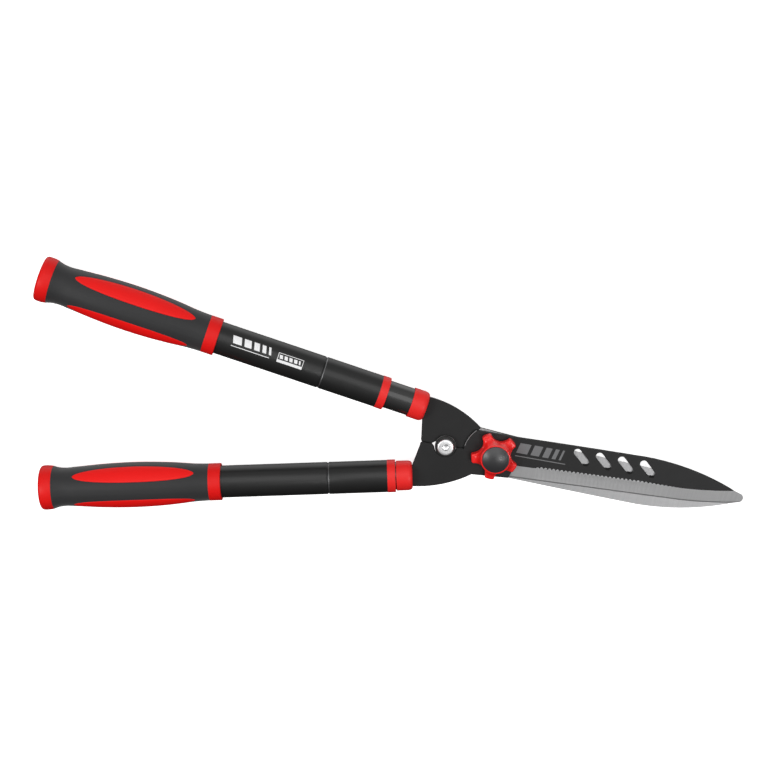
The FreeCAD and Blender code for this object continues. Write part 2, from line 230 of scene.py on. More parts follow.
def curve_through(points, value):
    """Smooth curve through (x, y) points with increasing x, at one or many x values."""
    xs = np.array([point[0] for point in points])
    ys = np.array([point[1] for point in points])
    slopes = np.gradient(ys, xs)
    value = np.clip(value, xs[0], xs[-1])
    cell = np.clip(np.searchsorted(xs, value, side="right") - 1, 0, len(xs) - 2)
    size = xs[cell + 1] - xs[cell]
    t = (value - xs[cell]) / size
    return (
        ys[cell] * (1 + 2 * t) * (1 - t) ** 2
        + ys[cell + 1] * t ** 2 * (3 - 2 * t)
        + slopes[cell] * size * t * (1 - t) ** 2
        - slopes[cell + 1] * size * t ** 2 * (1 - t)
    )


def finish_piece(piece, body, slot, *nodes):
    """Attach a finished piece to its body and hide the CAD nodes it replaces; slot is not used."""
    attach(piece, body)
    if nodes:
        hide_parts(*nodes)


# ---------------------------------------------------------------- materials
def feed(tree, socket, source):
    """Link a socket from another one, or set it to a plain value."""
    if isinstance(source, bpy.types.NodeSocket):
        tree.links.new(source, socket)
    else:
        socket.default_value = source


def add_node(tree, kind, output, inputs, **settings):
    """One output of a new node, its settings made and its inputs linked or set."""
    node = tree.nodes.new(kind)
    for name, value in settings.items():
        setattr(node, name, value)
    for key, source in inputs.items():
        feed(tree, node.inputs[key], source)
    return node.outputs[output]


class Nodes:
    """Small builder for one procedural material."""

    def __init__(self, name, colour, roughness, metallic=0.0):
        self.material = bpy.data.materials.new(name)
        self.material.use_nodes = True
        self.tree = self.material.node_tree
        self.shader = self.tree.nodes["Principled BSDF"]
        self.shader.inputs["Metallic"].default_value = metallic
        self.shader.inputs["Roughness"].default_value = roughness
        self.place = self.add("ShaderNodeTexCoord", "Object", {})
        self.colour = (*colour, 1.0)
        self.roughness = roughness

    def add(self, kind, output, inputs, **settings):
        return add_node(self.tree, kind, output, inputs, **settings)

    def noise(self, scale, detail=3.0, stretch=None):
        """Noise over the frame's own coordinates; scale counts features per metre.

        stretch is a scale along each axis and a rotation, given to the coordinates first.
        """
        place = self.place
        if stretch is not None:
            mapping = {"Vector": place, "Scale": stretch[0], "Rotation": stretch[1]}
            place = self.add("ShaderNodeMapping", "Vector", mapping)
        return self.add("ShaderNodeTexNoise", "Fac", {"Vector": place, "Scale": scale, "Detail": detail})

    def ramp(self, source, low, high):
        """Source stretched so that low gives 0 and high gives 1."""
        return self.add("ShaderNodeMapRange", "Result", {"Value": source, "From Min": low, "From Max": high})

    def tint(self, factor, colour, strength=1.0):
        """Blend another colour over the present one, by factor times strength."""
        amount = self.add("ShaderNodeMath", "Value", {0: factor, 1: strength},
                          operation="MULTIPLY", use_clamp=True)
        # Of the mix node's sockets, 6 and 7 are its two colours and output 2 is their blend.
        blend = {0: amount, 6: self.colour, 7: (*colour, 1.0)}
        self.colour = self.add("ShaderNodeMix", 2, blend, data_type="RGBA")

    def vary_roughness(self, source, spread):
        """Roughness that follows a 0..1 source, spread about its set value."""
        limits = {"To Min": max(0.02, self.roughness - spread), "To Max": self.roughness + spread}
        varied = self.add("ShaderNodeMapRange", "Result", {"Value": source, **limits})
        self.tree.links.new(varied, self.shader.inputs["Roughness"])

    def bump(self, height, depth):
        """Bump from a 0..1 source, depth in metres."""
        normal = self.add("ShaderNodeBump", "Normal", {"Height": height, "Distance": depth})
        self.tree.links.new(normal, self.shader.inputs["Normal"])

    def edge_wear(self, radius, colour, strength):
        """Lighter or darker colour where the surface turns within a short radius."""
        soft = self.add("ShaderNodeBevel", "Normal", {"Radius": radius}, samples=4)
        here = self.add("ShaderNodeNewGeometry", "Normal", {})
        turn = self.add("ShaderNodeVectorMath", "Value", {0: soft, 1: here}, operation="DOT_PRODUCT")
        worn = self.ramp(turn, 0.95, 0.80)
        patchy = self.ramp(self.noise(260.0, 4.0), 0.38, 0.62)
        both = self.add("ShaderNodeMath", "Value", {0: worn, 1: patchy}, operation="MULTIPLY")
        self.tint(both, colour, strength)

    def done(self):
        feed(self.tree, self.shader.inputs["Base Color"], self.colour)
        return self.material


def moulded(name, colour, dark, light, roughness, grain_depth, shine=0.3, coat=0.0, wear=0.35,
            sheen=0.0):
    """Moulded plastic or rubber: slow colour drift, fine grain, uneven roughness, paler worn edges."""
    nodes = Nodes(name, colour, roughness)
    nodes.shader.inputs["Specular IOR Level"].default_value = shine
    drift = nodes.ramp(nodes.noise(22.0, 3.0), 0.35, 0.65)
    nodes.tint(drift, dark, 0.35)
    speck = nodes.ramp(nodes.noise(1400.0, 2.0), 0.56, 0.72)
    nodes.tint(speck, light, 0.04)
    nodes.vary_roughness(nodes.noise(140.0, 4.0), 0.04)
    nodes.bump(nodes.noise(2600.0, 2.0), grain_depth)
    nodes.edge_wear(0.25 * MM, light, wear)
    nodes.shader.inputs["Coat Weight"].default_value = coat
    nodes.shader.inputs["Coat Roughness"].default_value = 0.12
    nodes.shader.inputs["Sheen Weight"].default_value = sheen
    nodes.shader.inputs["Sheen Roughness"].default_value = 0.4
    return nodes.done()


def painted(name, colour, light, roughness, orange_peel, shine=0.45):
    """Satin coating on metal: faint orange peel, dust specks, worn bright metal on the edges."""
    nodes = Nodes(name, colour, roughness)
    nodes.shader.inputs["Specular IOR Level"].default_value = shine
    nodes.tint(nodes.ramp(nodes.noise(30.0, 4.0), 0.35, 0.7), light, 0.35)
    nodes.tint(nodes.ramp(nodes.noise(1500.0, 1.0), 0.66, 0.75), light, 0.3)
    nodes.vary_roughness(nodes.noise(90.0, 5.0), 0.06)
    nodes.bump(nodes.noise(1100.0, 2.0), orange_peel)
    nodes.edge_wear(0.3 * MM, (0.30, 0.30, 0.31), 0.35)
    return nodes.done()


def ground_steel(name, colour, dark, roughness, along, metallic=1.0):
    """Ground steel whose grinding lines run across the blade."""
    nodes = Nodes(name, colour, roughness, metallic=metallic)
    lines = nodes.noise(1.0, 4.0, stretch=((2600.0, 34.0, 34.0), (0, 0, along)))
    coarse = nodes.noise(1.0, 3.0, stretch=((420.0, 12.0, 12.0), (0, 0, along)))
    nodes.tint(nodes.ramp(lines, 0.34, 0.66), dark, 0.5)
    nodes.tint(nodes.ramp(coarse, 0.38, 0.62), dark, 0.3)
    nodes.tint(nodes.ramp(nodes.noise(55.0, 5.0), 0.55, 0.8), dark, 0.35)
    nodes.vary_roughness(lines, 0.06)
    nodes.bump(lines, 0.004 * MM)
    return nodes.done()


def plated(name, colour, dark, roughness):
    """Bright plated steel: fine turning marks and slightly dull patches."""
    nodes = Nodes(name, colour, roughness, metallic=1.0)
    nodes.tint(nodes.ramp(nodes.noise(420.0, 4.0), 0.4, 0.7), dark, 0.5)
    nodes.vary_roughness(nodes.noise(300.0, 5.0), 0.08)
    nodes.bump(nodes.noise(1800.0, 3.0), 0.006 * MM)
    nodes.edge_wear(0.25 * MM, (0.95, 0.95, 0.95), 0.5)
    return nodes.done()


def ink(name, colour, roughness):
    """Screen-printed ink, a little broken up where it lies thin."""
    nodes = Nodes(name, colour, roughness)
    thin = nodes.ramp(nodes.noise(700.0, 3.0), 0.60, 0.72)
    nodes.tint(thin, tuple(0.55 * part for part in colour), 0.6)
    nodes.vary_roughness(nodes.noise(300.0, 2.0), 0.05)
    nodes.bump(nodes.noise(2400.0, 2.0), 0.004 * MM)
    return nodes.done()


MATERIALS = {
    "coat": painted("coated_steel", (0.0118, 0.0118, 0.012), (0.020, 0.020, 0.0203), 0.46, 0.020 * MM,
                    shine=0.30),
    "outer_tube": painted("outer_tube_paint", (0.010, 0.010, 0.010), (0.014, 0.014, 0.014), 0.33, 0.004 * MM),
    "inner_tube": painted("inner_tube_paint", (0.012, 0.012, 0.012), (0.017, 0.017, 0.017), 0.22, 0.004 * MM,
                          shine=0.85),
    "black_steel": painted("blackened_steel", (0.008, 0.008, 0.008), (0.014, 0.014, 0.014), 0.45, 0.006 * MM),
    # Dark grey laid on the stop screw's socket walls as painted shade in the recess.
    "socket_shade": painted("socket_painted_shade", (0.10, 0.10, 0.10), (0.18, 0.18, 0.18), 0.6, 0.02 * MM, shine=0.2),
    "band": ground_steel("ground_band", (0.70, 0.70, 0.705), (0.61, 0.61, 0.615), 0.52, 0.04),
    "micro": ground_steel("honed_edge", (0.62, 0.62, 0.625), (0.48, 0.48, 0.485), 0.34, 0.04),
    "mating": ground_steel("ground_face", (0.47, 0.47, 0.475), (0.395, 0.395, 0.40), 0.46, 0.9),
    "rubbed_tube": plated("rubbed_tube_paint", (0.30, 0.30, 0.305), (0.16, 0.16, 0.165), 0.45),
    "zinc": plated("zinc_plate", (0.95, 0.95, 0.955), (0.84, 0.84, 0.86), 0.40),
    "bronze": plated("sintered_bronze", (0.55, 0.33, 0.14), (0.40, 0.22, 0.08), 0.35),
    "red_gloss": moulded("red_gloss_plastic", (0.88, 0.010, 0.009), (0.82, 0.008, 0.007),
                         (0.95, 0.10, 0.09), 0.34, 0.001 * MM, shine=0.40, coat=0.2, wear=0.15),
    "red_satin": moulded("red_satin_plastic", (0.78, 0.007, 0.006), (0.72, 0.005, 0.005),
                         (0.92, 0.09, 0.08), 0.45, 0.010 * MM, shine=0.22),
    "red_socket": moulded("red_socket_plastic", (0.86, 0.020, 0.018), (0.80, 0.014, 0.012),
                          (0.95, 0.12, 0.11), 0.42, 0.004 * MM, shine=0.32),
    "red_rubber": moulded("red_rubber", (0.90, 0.006, 0.005), (0.84, 0.005, 0.004),
                          (0.88, 0.08, 0.07), 0.50, 0.006 * MM, shine=0.25),
    "black_rubber": moulded("black_rubber", (0.026, 0.026, 0.027), (0.020, 0.020, 0.021),
                            (0.06, 0.06, 0.062), 0.58, 0.025 * MM, shine=0.32, sheen=0.35),
    "black_plastic": moulded("black_plastic", (0.020, 0.020, 0.022), (0.016, 0.016, 0.017),
                             (0.08, 0.08, 0.085), 0.37, 0.002 * MM, shine=0.8, wear=0.15),
    "nylon": moulded("white_nylon", (0.72, 0.70, 0.64), (0.62, 0.60, 0.54), (0.85, 0.83, 0.78), 0.45,
                     0.01 * MM),
    "blade_ink": ink("grey_ink", (0.16, 0.16, 0.165), 0.5),
    "tube_ink": ink("white_ink", (0.88, 0.88, 0.89), 0.5),
}


# ---------------------------------------------------------------- blades
BAND_WIDTH = 13.2 * MM            # ground band along the cutting edge
EDGE_LAND = 0.3 * MM
HONE_WIDTH = 1.3 * MM             # steeper honed strip at the very edge
HONE_DROP = 0.12 * MM
SCALLOP_PITCH = 4.0 * MM
SCALLOP_REACH = 2.0 * MM          # how far each hollow carries the band into the coating
SCALLOP_FROM = 22.0 * MM          # along the edge from the band's heel
SCALLOP_TO = 169.0 * MM
FADE_IN, FADE_OUT = 1.5, 10.0     # pitches over which the hollows grow and fade
SCALLOP_TIP = 0.5 * MM            # the hollows' tips past this, beyond the band, are dull
HEEL_LEAN = 3.1 * MM              # the band's heel end leans towards the tip
OUTLINE_CHAMFER = 0.25 * MM
RUBBED_CHAMFER = 0.55 * MM        # on the round shoulder and round the stop screw, worn bright
SHOULDER_RADIUS = 31.0 * MM
SHOULDER_SLACK = 0.8 * MM
SHOULDER_FROM, SHOULDER_TO = 136.0, 172.0
STOP_RADIUS = 11.0 * MM
BARE_RADIUS = 29.5 * MM           # bare mating face about the pivot; the tang is coated
BARE_FROM = -12.0 * MM
BARE_ARC_FROM, BARE_ARC_TO = math.radians(114), math.radians(246)
BARE_ARC_POINTS = 60
BAND_ROWS = (0.12, 0.35, 0.6, 0.82)     # extra rows of points, as shares of the band's width
OUTLINE_STEP = 2.5 * MM
BEYOND_TIP = 14.0 * MM
SLOT_HALF_LENGTH = 6.75 * MM      # between the centres of a slot's rounded ends, halved
SLOT_RADIUS = 3.65 * MM
SLOT_ANGLE = math.radians(-41.8)
SLOT_TOE = 1.7 * MM               # how far the lower end's wall slopes into the slot
TOE_REACH, TOE_START, TOE_GAIN = 1.1, 0.35, 1.5     # where that slope begins, in slot radii
SLOTS_FROM = 50.0 * MM
SLIVER = 0.0005 * MM              # plan triangles thinner than this are left out
TOUCH = 1e-7
FLAT = 0.01 * MM
NEAR = 1.0 * MM
COAT, BAND, HONE, BARE = range(4)       # a plate's materials


def border(faces):
    """Border of faces that all turn the same way, as a dictionary from each vertex to the next."""
    directed = [pair for face in faces for pair in zip(face, face[1:] + face[:1])]
    known = set(directed)
    return {a: b for a, b in directed if (b, a) not in known}


def loops_at(node, height, flip):
    """Closed plan outlines of a node's flat face at a height, longest first, in the plate's own plan."""
    mesh = frame["nodes"][node].data
    first = {}
    ids = [first.setdefault(tuple(round(c * 1e6) for c in v.co), v.index) for v in mesh.vertices]
    faces = [[ids[v] for v in polygon.vertices] for polygon in mesh.polygons]
    following = border([face for face in faces
                        if all(abs(mesh.vertices[v].co.z - height) < FLAT for v in face)])
    loops = []
    while following:
        start, here = following.popitem()
        loop = [start]
        while here != start:
            loop.append(here)
            here = following.pop(here)
        loops.append([Vector((mesh.vertices[v].co.x, mesh.vertices[v].co.y * flip)) for v in loop])
    loops.sort(key=lambda loop: -abs(area(loop)))
    return [loop if (area(loop) > 0) == (rank == 0) else loop[::-1] for rank, loop in enumerate(loops)]


def area(loop):
    return sum(a.x * b.y - b.x * a.y for a, b in zip(loop, loop[1:] + loop[:1])) / 2


def divided(loop, longest):
    """Loop with its long runs divided evenly."""
    points = []
    for a, b in zip(loop, loop[1:] + loop[:1]):
        pieces = max(1, math.ceil((b - a).length / longest))
        points += [a.lerp(b, piece / pieces) for piece in range(pieces)]
    return points


def outward(before, here, after):
    """Mitred outward normal at a vertex of a loop whose inside is on the left."""
    first = (here - before).normalized()
    second = (after - here).normalized()
    normal = Vector((first.y + second.y, -first.x - second.x))
    if normal.length < 1e-6:
        return Vector((first.y, -first.x))
    normal.normalize()
    return normal / max(0.5, normal.dot(Vector((first.y, -first.x))))


def thickness(a, b, c):
    """Height of a plan triangle over its longest side."""
    longest = max((b - a).length, (c - b).length, (a - c).length)
    return abs((b - a).cross(c - a)) / longest


def inside(points, loops):
    """Even-odd test of many plan points against all the loops together."""
    inner = np.zeros(len(points), bool)
    x, y = points[:, 0], points[:, 1]
    for loop in loops:
        for a, b in zip(loop, loop[1:] + loop[:1]):
            if abs(a.y - b.y) < 1e-12:
                continue
            crosses = (a.y > y) != (b.y > y)
            inner ^= crosses & (x < (b.x - a.x) * (y - a.y) / (b.y - a.y) + a.x)
    return inner


def past_heel(distance, along):
    """How far a place in from the cutting edge and along it lies past the band's slanted heel end."""
    return along - HEEL_LEAN * distance / BAND_WIDTH


class Plate:
    """Tang and blade of one half.

    Plan points lie as on the front half, and height counts from the mating face.
    """

    def __init__(self, node, front):
        self.flip = 1 if front else -1
        stop = upright("stop_screw")[2].foot
        self.stop = Vector((stop.x, stop.y * self.flip))
        self.mating = level(node, top=not front)
        self.thickness = abs(level(node, top=front) - self.mating)
        self.loops = loops_at(node, self.mating, self.flip)
        ends = points_of(node)
        at_land = abs(abs(ends[:, 2] - self.mating) - EDGE_LAND) < 2 * FLAT
        corners = sorted({(round(x, 6), round(y * self.flip, 6)) for x, y in ends[at_land][:, :2]})
        self.heel = Vector(corners[0])
        self.runs = self.cutting_edge(Vector(corners[-1]))
        self.slots = [sum(loop, Vector((0, 0))) / len(loop)
                      for loop in self.loops[1:] if loop[0].x > SLOTS_FROM]
        self.slope = (self.thickness - EDGE_LAND) / BAND_WIDTH

    def cutting_edge(self, end):
        """Straight runs of the cutting edge: start, direction, length, and how far along each begins."""
        loop = self.loops[0]
        first = min(range(len(loop)), key=lambda v: (loop[v] - self.heel).length)
        loop = loop[first:] + loop[:first]
        last = min(range(len(loop)), key=lambda v: (loop[v] - end).length)
        runs = []
        along = 0.0
        for a, b in zip(loop[:last], loop[1:last + 1]):
            runs.append((a, (b - a).normalized(), (b - a).length, along))
            along += (b - a).length
        return runs

    def across_edge(self, point):
        """Distance in from the cutting edge, and how far along it."""
        best, along = 1.0, 0.0
        for start, step, _, run in self.runs:
            offset = point - start
            distance = step.x * offset.y - step.y * offset.x
            if distance < best:
                best = distance
                along = run + offset.dot(step)
        return best, along

    def hollow(self, along):
        """Depth of the ground hollows at a place along the edge, as a share of the deepest."""
        if not SCALLOP_FROM < along < SCALLOP_TO:
            return 0.0
        grown = (along - SCALLOP_FROM) / (FADE_IN * SCALLOP_PITCH)
        left = (SCALLOP_TO - along) / (FADE_OUT * SCALLOP_PITCH)
        fade = min(1.0, grown, left)
        phase = (along / SCALLOP_PITCH) % 1.0
        return fade * (1 - (2 * phase - 1) ** 2)

    def band_top(self, along):
        return BAND_WIDTH + SCALLOP_REACH * self.hollow(along)

    def in_band(self, point):
        distance, along = self.across_edge(point)
        return past_heel(distance, along) > -TOUCH and distance < self.band_top(along) + TOUCH

    def height(self, point):
        """Height of the outer surface at a plan point."""
        distance, along = self.across_edge(point)
        if not self.in_band(point):
            return self.thickness
        hollowed = SCALLOP_REACH * self.hollow(along) * min(1, distance / BAND_WIDTH)
        ground = EDGE_LAND + self.slope * (distance - hollowed)
        ground -= HONE_DROP * max(0.0, 1 - distance / HONE_WIDTH)
        return min(self.thickness, ground)

    def along_edge(self, distance_at, spacing):
        """Points at a distance in from the cutting edge, evenly along it and a little beyond the tip."""
        points = []
        for start, step, length, run in self.runs:
            normal = Vector((-step.y, step.x))
            reach = length + (BEYOND_TIP if run == self.runs[-1][3] else 0.0)
            pieces = max(1, round(reach / spacing))
            for piece in range(pieces):
                along = reach * piece / pieces
                points.append(start + step * along + normal * distance_at(run + along))
        return points

    def place(self, point, height):
        return Vector((point.x, point.y * self.flip, self.mating + self.flip * height))

    def build(self, name, materials):
        """Closed mesh: outer face with its ground band, chamfered outline, walls and mating face."""
        loops = [divided(loop, OUTLINE_STEP) for loop in self.loops]
        insets = []
        for loop in loops:
            normals = map(outward, loop[-1:] + loop[:-1], loop, loop[1:] + loop[:1])
            insets.append([point - normal * self.chamfer(point) for point, normal in zip(loop, normals)])
        points = []
        edges = []

        def add_line(line, closed=False):
            first = len(points)
            points.extend(line)
            edges.extend((first + k, first + k + 1) for k in range(len(line) - 1))
            if closed:
                edges.append((len(points) - 1, first))

        for inset in insets:
            add_line(inset, closed=True)
        step = (self.runs[1][0] - self.heel).normalized()
        corner = self.heel + step * HEEL_LEAN + Vector((-step.y, step.x)) * BAND_WIDTH
        top = self.along_edge(self.band_top, SCALLOP_PITCH / 10)
        add_line([self.heel.copy(), corner] + [p for p in top if self.across_edge(p)[1] >= HEEL_LEAN])
        for share in BAND_ROWS:
            row = self.along_edge(lambda along: BAND_WIDTH * share, SCALLOP_PITCH / 5)
            points.extend(p for p in row if self.in_band(p))
        add_line(self.along_edge(lambda along: HONE_WIDTH, SCALLOP_PITCH))
        add_line([Vector((math.cos(a), math.sin(a))) * BARE_RADIUS
                  for a in np.linspace(BARE_ARC_FROM, BARE_ARC_TO, BARE_ARC_POINTS)])
        made = delaunay_2d_cdt(points, edges, [], 0, TOUCH)
        plan = [Vector(v) for v in made[0]]
        triangles = [tuple(t) for t in made[2]]
        centres = np.array([(plan[a] + plan[b] + plan[c]) / 3 for a, b, c in triangles])
        triangles = [t for t, kept in zip(triangles, inside(centres, insets))
                     if kept and thickness(*(plan[v] for v in t)) > SLIVER]
        return self.closed_mesh(name, plan, triangles, materials)

    def chamfer(self, point):
        """Chamfer of the outer rim at an outline point; the ground band has none."""
        if self.rubbed(point):
            return RUBBED_CHAMFER
        distance, along = self.across_edge(point)
        ground = past_heel(distance, along) > -NEAR and distance < BAND_WIDTH + NEAR
        return 0.0 if ground else OUTLINE_CHAMFER

    def rubbed(self, point):
        """Whether an outline point lies where the other half has rubbed the coating off the edge."""
        angle = math.degrees(math.atan2(point.y, point.x))
        at_shoulder = abs(point.length - SHOULDER_RADIUS) < SHOULDER_SLACK
        on_shoulder = at_shoulder and SHOULDER_FROM < angle < SHOULDER_TO
        return on_shoulder or (point - self.stop).length < STOP_RADIUS

    def toe(self, point):
        """Foot of the wall below a rim point; the wall at each slot's lower end slopes inwards."""
        along = Vector((math.cos(SLOT_ANGLE), math.sin(SLOT_ANGLE)))
        for middle in self.slots:
            away = point - middle - along * SLOT_HALF_LENGTH
            if away.length < TOE_REACH * SLOT_RADIUS:
                end_share = min(1.0, max(0.0, TOE_START + TOE_GAIN * away.dot(along) / SLOT_RADIUS))
                low_share = max(0.0, -away.y / SLOT_RADIUS)
                return point + Vector((0, SLOT_TOE * end_share * low_share))
        return point

    def closed_mesh(self, name, plan, triangles, materials):
        """Both faces from one set of plan triangles, and the chamfer and wall along their border."""
        following = border(triangles)
        preceding = {b: a for a, b in following.items()}
        rim = {}
        for v in following:
            normal = outward(plan[preceding[v]], plan[v], plan[following[v]])
            rim[v] = plan[v] + normal * self.chamfer(plan[v])
        vertices = []
        faces = []
        kinds = []
        upper, lower, shoulder = {}, {}, {}

        def add(row, v, point, height):
            row[v] = len(vertices)
            vertices.append(self.place(point, height))

        for v in sorted({v for t in triangles for v in t}):
            add(upper, v, plan[v], self.height(plan[v]))
            add(lower, v, self.toe(rim[v]) if v in rim else plan[v], 0.0)
        for v in following:
            add(shoulder, v, rim[v], self.height(plan[v]) - self.chamfer(plan[v]))
        for a, b, c in triangles:
            middle = (plan[a] + plan[b] + plan[c]) / 3
            faces.append((upper[a], upper[b], upper[c]))
            kinds.append(self.outer_kind(middle))
            faces.append((lower[c], lower[b], lower[a]))
            kinds.append(BARE if self.is_bare(middle) else COAT)
        for a, b in following.items():
            ground = self.chamfer(plan[a]) == 0 and self.chamfer(plan[b]) == 0
            faces.append((upper[b], upper[a], shoulder[a], shoulder[b]))
            kinds.append(BARE if self.rubbed(plan[a]) else COAT)
            faces.append((shoulder[b], shoulder[a], lower[a], lower[b]))
            kinds.append(BAND if ground else COAT)
        return mesh_object(name, vertices, faces, materials, kinds, crease=7.0)

    def outer_kind(self, point):
        """Material of the outer face at a plan point."""
        if not self.in_band(point):
            return COAT
        distance = self.across_edge(point)[0]
        if distance > BAND_WIDTH + SCALLOP_TIP:
            return BARE
        return HONE if distance < HONE_WIDTH else BAND

    def is_bare(self, point):
        return point.length < BARE_RADIUS or point.x > BARE_FROM


def blades():
    for node, front, body, slot in (
        ("front_blade", True, "right_half", "coated_steel"),
        ("rear_blade", False, "left_half", "bare_steel"),
    ):
        materials = [MATERIALS[name] for name in ("coat", "band", "micro", "mating")]
        finish_piece(Plate(node, front).build(f"{node}_ground", materials), body, slot, node)


# ---------------------------------------------------------------- arms
GRIP_SHAPE = [
    (0.000, 18.2), (0.085, 18.7), (0.203, 20.4), (0.353, 21.8), (0.510, 22.2),
    (0.692, 21.3), (0.850, 19.6), (0.928, 18.9), (0.969, 19.6), (1.000, 21.0),
]                                 # share of the grip's length, radius in mm
INLAY_ANGLES = [math.radians(a) for a in (48, 138, 222, 312)]
INLAY_HALF_WIDTH = 9.2 * MM
INLAY_FULLNESS = 0.50             # 0.5 is an ellipse, 1 a pointed lens
INLAY_TIP = 0.80 * MM             # half width where the inlay's ends are cut off
INLAY_GAP = 0.12 * MM
INLAY_PROUD = 0.12 * MM
INLAY_TAPER = 1.2 * MM            # half width below which an inlay stands less proud
INLAY_GLUE = 0.05 * MM
LEAF_STEPS = 72
POCKET_DEPTH = 1.3 * MM
POCKET_EDGE = 0.02 * MM           # width of the pocket's steep wall
LIP = 0.35 * MM                   # rounded lip of the pocket
BEAD_DEPTH = 0.8 * MM
BEAD_HALF_WIDTH = 1.2 * MM
BEAD_FROM_COLLAR = 57.9 * MM
BEAD_STEPS = 12
BEAD_WORN = (-1.0, -0.25)         # worn flank, in half widths from the bead's middle
TUBE_WALL = 1.2 * MM
TUBE_SEGMENTS = 128
SLIDE_CLEARANCE = 0.05 * MM
COLLAR_LIP = 2.0 * MM
CAP_FLOOR = 4.4 * MM


class Grip:
    """Rubber grip on an arm, with four leaf-shaped inlays."""

    def __init__(self, arm):
        self.arm = arm
        sleeve = arm.part("grip_sleeve")
        inlays = arm.part("grip_inlays")
        self.start, self.end = sleeve.start, sleeve.end
        self.leaf_start, self.leaf_end = inlays.start, inlays.end
        self.bore = arm.part("outer_tube").radius

    def radius(self, station):
        share = (station - self.start) / (self.end - self.start)
        return float(curve_through(GRIP_SHAPE, share)) * MM

    def half_width(self, station):
        """Half width of an inlay at a station, and whether the station is within the inlay."""
        middle = (self.leaf_start + self.leaf_end) / 2
        share = abs(station - middle) / (self.leaf_end - middle)
        if share >= 1:
            return INLAY_TIP, False
        return max(INLAY_TIP, INLAY_HALF_WIDTH * (1 - share ** 2) ** INLAY_FULLNESS), True

    def leaf_stations(self):
        """Stations within the inlays, closer together towards their rounded ends."""
        middle = (self.leaf_start + self.leaf_end) / 2
        half = (self.leaf_end - self.leaf_start) / 2
        return [middle - half * math.cos(math.pi * step / LEAF_STEPS) for step in range(LEAF_STEPS + 1)]

    def sleeve(self):
        """Sleeve whose columns follow the pockets' borders."""
        leaf = self.leaf_stations()
        leaf[0] += POCKET_EDGE
        leaf[-1] -= POCKET_EDGE
        stations = list(np.linspace(self.start, self.leaf_start - POCKET_EDGE, 9)) + leaf
        stations += list(np.linspace(self.leaf_end + POCKET_EDGE, self.end, 13))
        rings = [[self.arm.at(self.start, self.bore, a) for a in self.columns(self.start)[0]]]
        for station in stations:
            angles, depths = self.columns(station)
            radius = self.radius(station)
            rings.append([self.arm.at(station, radius - d, a) for a, d in zip(angles, depths)])
        rings.append([self.arm.at(self.end, self.bore, a) for a in self.columns(self.end)[0]])
        return loft(f"{self.arm.side}_grip", rings, [MATERIALS["black_rubber"]], crease=38.0)

    def columns(self, station):
        """Angles round the grip at a station, and how deep each lies below the surface."""
        half, within = self.half_width(station)
        radius = self.radius(station)
        depth = POCKET_DEPTH if within else 0.0
        lip = LIP if within else 0.0
        offsets = [(half * k / 6, depth) for k in range(7)]
        offsets += [(half + POCKET_EDGE, 0.35 * lip), (half + 0.30 * LIP, 0.1 * lip), (half + LIP, 0.0)]
        between = math.radians(45) * radius - half - LIP
        offsets += [(half + LIP + between * k / 9, 0.0) for k in range(1, 9)]
        offsets = [(-distance, deep) for distance, deep in reversed(offsets[1:])] + offsets
        angles = [middle + distance / radius for middle in INLAY_ANGLES for distance, deep in offsets]
        return angles, [deep for distance, deep in offsets] * len(INLAY_ANGLES)

    def inlay(self, number):
        """One inlay: a closed pad with rounded shoulders, let into its pocket."""
        rings = []
        for station in self.leaf_stations():
            half = self.half_width(station)[0] - INLAY_GAP
            radius = self.radius(station)
            floor = radius - POCKET_DEPTH + INLAY_GLUE
            top = radius + INLAY_PROUD * min(1.0, half / INLAY_TAPER)
            shoulder = min(0.45 * MM, 0.45 * half)
            flat = half - shoulder
            turns = [math.pi / 8 * k for k in range(1, 5)]
            corner = [(flat + shoulder * math.sin(t), top - shoulder * (1 - math.cos(t))) for t in turns]
            section = [(-flat + 2 * flat * k / 12, top) for k in range(13)] + corner
            section += [(half - 2 * half * k / 6, floor) for k in range(7)]
            section += [(-offset, r) for offset, r in reversed(corner)]
            middle = INLAY_ANGLES[number]
            rings.append([self.arm.at(station, r, middle + offset / radius) for offset, r in section])
        return loft(f"{self.arm.side}_inlay_{number}", rings, [MATERIALS["red_rubber"]],
                    closed=False, cap_ends=True, crease=45.0)


def end_cap(arm, grip):
    """Moulded cap that flares out of the grip, its outer corner well rounded."""
    cap = arm.part("end_cap")
    inner = grip.bore - TUBE_WALL
    join = grip.radius(grip.end)
    belly = cap.radius
    start, end = grip.end, cap.end
    floor = end - CAP_FLOOR
    profile = [
        (cap.start, 0.0, 0), (cap.start, inner, 0.5 * MM), (floor, inner, 0), (floor, grip.bore, 0),
        (start, grip.bore, 0), (start, join + 0.15 * MM, 0.3 * MM), (start + 4.5 * MM, belly, 4.0 * MM),
        (end - 0.7 * MM, belly - 0.05 * MM, 3.6 * MM), (end, belly - 7.0 * MM, 4.0 * MM), (end, 0.0, 0),
    ]
    return turned(f"{arm.side}_cap", arm, profile, [MATERIALS["red_satin"]], segments=TUBE_SEGMENTS)


def outer_tube(arm):
    """Painted tube with a rolled bead, worn bright on one flank."""
    tube = arm.part("outer_tube")
    outer, inner = tube.radius, tube.radius - TUBE_WALL
    bead = tube.start + BEAD_FROM_COLLAR

    def rolled(radius, direction):
        rows = []
        for share in np.linspace(-1, 1, BEAD_STEPS + 1):
            dip = BEAD_DEPTH * 0.5 * (1 + math.cos(math.pi * share))
            rows.append((bead + direction * share * BEAD_HALF_WIDTH, radius - dip, 0))
        return rows

    profile = [(tube.start, inner, 0)] + rolled(inner, 1)
    profile += [(tube.end, inner, 0), (tube.end, outer, 0)] + rolled(outer, -1) + [(tube.start, outer, 0)]
    return turned(f"{arm.side}_tube", arm, profile, [MATERIALS["outer_tube"], MATERIALS["rubbed_tube"]],
                  segments=TUBE_SEGMENTS, worn=[bead + share * BEAD_HALF_WIDTH for share in BEAD_WORN])


